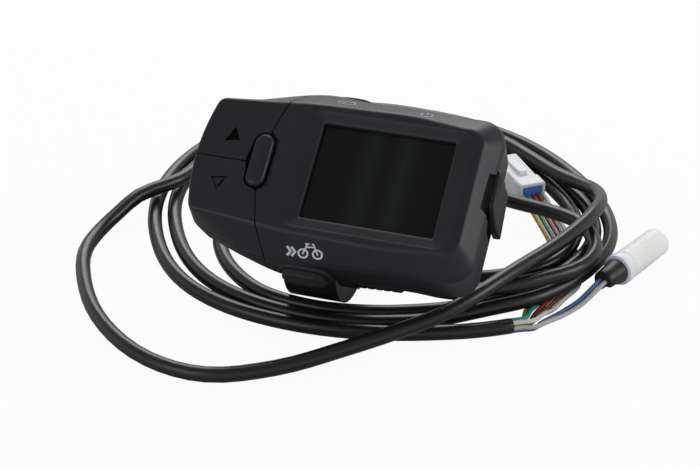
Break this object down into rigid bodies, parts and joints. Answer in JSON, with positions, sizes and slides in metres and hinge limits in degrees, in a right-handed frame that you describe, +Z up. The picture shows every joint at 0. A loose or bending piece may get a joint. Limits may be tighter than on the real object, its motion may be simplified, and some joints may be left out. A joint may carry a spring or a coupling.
{
  "type": "e-bike display",
  "caption": "Tilted handlebar display with arrow keys, side buttons, a slit bar clamp and a coiled cable that ends in two plugs.",
  "frame": {"origin": "middle of the bottom of the display and its clamp, on the table it stands on; the cable isn't counted", "axes": "+X along the handlebar to the display's port side (the bar's end comes in from -X), +Y to the back, away from the rider, +Z up; the screen is tilted back by 39 degrees"},
  "size_m": [0.1616, 0.1671, 0.0575],
  "materials": {
    "housing": "black, fine moulded texture",
    "cover": "black, moulded",
    "seal": "dark grey rubber",
    "lens": "dark tinted glass",
    "tape": "black foam tape",
    "lcd": "dark bare display panel",
    "holder": "pale moulded frame",
    "board": "green solder mask",
    "switch_metal": "tinned steel",
    "key": "black, satin moulded",
    "mode": "black, satin moulded",
    "button": "black silicone rubber",
    "flap": "black rubber",
    "screw": "zinc-plated steel",
    "clamp": "black glass-filled plastic",
    "jacket": "black, slightly glossy jacket",
    "yellow": "wire insulation",
    "brown": "wire insulation",
    "red": "wire insulation",
    "green": "wire insulation",
    "white": "wire insulation",
    "blue": "wire insulation",
    "grey": "wire insulation",
    "plug_white": "milky white nylon",
    "retainer": "blue moulded",
    "contact": "tinned brass",
    "barrel": "translucent white nylon",
    "collar": "pale bluish white"
  },
  "bodies": {
    "display": {"front_housing": "housing", "rear_housing": "cover", "housing_seal": "seal", "screen_lens": "lens", "lens_tape": "tape", "screen_module": "lcd", "screen_holder": "holder", "main_board": "board", "key_switches": "switch_metal", "button_switches": "switch_metal", "key_seal": "seal", "port_socket": "switch_metal", "flap_anchor": "flap", "case_screws": "screw", "cable_boot": "flap", "clamp_bracket": "clamp", "bracket_screws": "screw", "clamp_nut": "screw", "display_cable": "jacket", "yellow_wire": "yellow", "brown_wire": "brown", "red_wire": "red", "green_wire": "green", "white_wire": "white", "blue_wire": "blue", "grey_wire": "grey", "motor_connector": "plug_white", "connector_retainer": "retainer", "motor_contacts": "contact", "light_connector": "barrel", "connector_collar": "collar", "wire_sleeve": "flap", "light_contacts": "contact"},
    "up_key_body": {"up_key": "key"},
    "down_key_body": {"down_key": "key"},
    "mode_key_body": {"mode_key": "mode"},
    "headlight_button_body": {"headlight_button": "button"},
    "power_button_body": {"power_button": "button"},
    "walk_button_body": {"walk_button": "button"},
    "port_flap_body": {"port_flap": "flap"},
    "clamp_screw_body": {"clamp_screw": "screw"}
  },
  "joints": [
    {"name": "up_press", "type": "slide", "parent": "display", "child": "up_key_body", "axis": [0, 0.6293, -0.7771], "range_m": [0, 0.00035], "stiffness_N_per_m": 2000, "springref_m": -0.0005},
    {"name": "down_press", "type": "slide", "parent": "display", "child": "down_key_body", "axis": [0, 0.6293, -0.7771], "range_m": [0, 0.00035], "stiffness_N_per_m": 2000, "springref_m": -0.0005},
    {"name": "mode_press", "type": "slide", "parent": "display", "child": "mode_key_body", "axis": [0, 0.6293, -0.7771], "range_m": [0, 0.00035], "stiffness_N_per_m": 2000, "springref_m": -0.0005},
    {"name": "headlight_press", "type": "slide", "parent": "display", "child": "headlight_button_body", "axis": [0, -0.7771, -0.6293], "range_m": [0, 0.0006], "stiffness_N_per_m": 1500, "springref_m": -0.0005},
    {"name": "power_press", "type": "slide", "parent": "display", "child": "power_button_body", "axis": [0, -0.7771, -0.6293], "range_m": [0, 0.0006], "stiffness_N_per_m": 1500, "springref_m": -0.0005},
    {"name": "walk_press", "type": "slide", "parent": "display", "child": "walk_button_body", "axis": [0, 0.7771, 0.6293], "range_m": [0, 0.0006], "stiffness_N_per_m": 1500, "springref_m": -0.0005},
    {"name": "flap_hinge", "type": "hinge", "parent": "display", "child": "port_flap_body", "pos_m": [0.0393, 0.00275, 0.04061], "axis": [0, -0.6293, 0.7771], "range_deg": [0, 110]},
    {"name": "screw_out", "type": "slide", "parent": "display", "child": "clamp_screw_body", "axis": [0, 0.3256, -0.9455], "range_m": [0, 0.005]}
  ]
}
